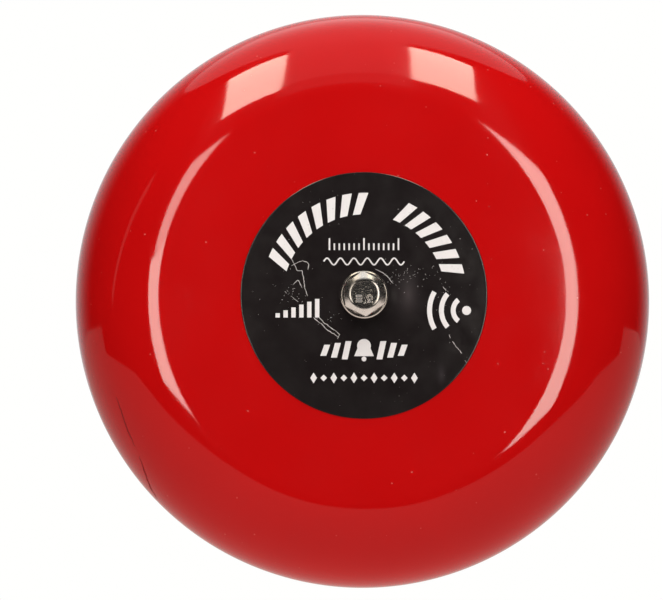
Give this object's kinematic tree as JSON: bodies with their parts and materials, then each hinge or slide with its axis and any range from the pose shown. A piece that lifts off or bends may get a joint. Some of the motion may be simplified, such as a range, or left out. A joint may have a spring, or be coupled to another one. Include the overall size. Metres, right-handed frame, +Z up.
{
  "type": "fire alarm bell",
  "caption": "Round red alarm bell with a rounded pressed steel gong, a black centre label held by a hexagon bolt, and a solenoid striker in a housing behind, for wall mounting.",
  "frame": {"origin": "on the wall plane, behind the middle of the gong, at the centre of the four wall screws", "axes": "+X to the viewer's right, +Y into the wall, +Z up; the bell faces -Y"},
  "size_m": [0.15, 0.059, 0.15],
  "materials": {
    "red_paint": "gloss",
    "label_film": "satin",
    "label_print": "satin",
    "bright_steel": "zinc plated",
    "zinc_steel": "zinc plated",
    "bare_steel": "ground",
    "black_paint": "textured powder coat on die-cast aluminium",
    "black_rubber": "matte",
    "red_fibre": "matte",
    "nylon": "satin",
    "copper": "enamelled wire",
    "coil_tape": "satin film",
    "brass": "machined",
    "black_epoxy": "satin",
    "brown_sleeve": "satin",
    "blue_sleeve": "satin"
  },
  "bodies": {
    "bell": {"gong": "red_paint", "front_label": "label_film", "gong_bolt": "bright_steel", "bolt_lock_washer": "bright_steel", "bolt_washer": "bright_steel", "seat_washer": "red_fibre", "gong_pillar": "zinc_steel", "pillar_nut": "zinc_steel", "pillar_lock_washer": "zinc_steel", "wall_plate": "zinc_steel", "clinch_nuts": "bare_steel", "cable_grommet": "black_rubber", "housing_gasket": "black_rubber", "housing": "black_paint", "housing_screws": "zinc_steel", "housing_lock_washers": "zinc_steel", "entry_plug": "black_rubber", "solenoid_frame": "zinc_steel", "frame_screws": "zinc_steel", "coil_bobbin": "nylon", "coil_winding": "copper", "coil_tape": "coil_tape", "guide_tube": "brass", "guide_bush": "nylon", "buffer_bracket": "zinc_steel", "bracket_screw": "zinc_steel", "rubber_buffer": "black_rubber", "return_spring": "bare_steel", "terminal_block": "nylon", "terminal_clamps": "brass", "terminal_screws": "zinc_steel", "terminal_fixing_screw": "zinc_steel", "rectifier_diode": "black_epoxy", "coil_lead_live": "brown_sleeve", "diode_lead": "brown_sleeve", "coil_lead_neutral": "blue_sleeve", "earth_screw": "brass", "earth_washer": "brass"},
    "striker": {"plunger": "bare_steel", "plunger_clip": "bare_steel", "striker_rod": "bare_steel", "striker_tip": "brass"}
  },
  "joints": [
    {"name": "striker_slide", "type": "slide", "parent": "bell", "child": "striker", "axis": [0, 0, -1], "range_m": [0, 0.004], "stiffness_N_per_m": 200, "springref_m": -0.003, "deforming": ["return_spring"]}
  ]
}
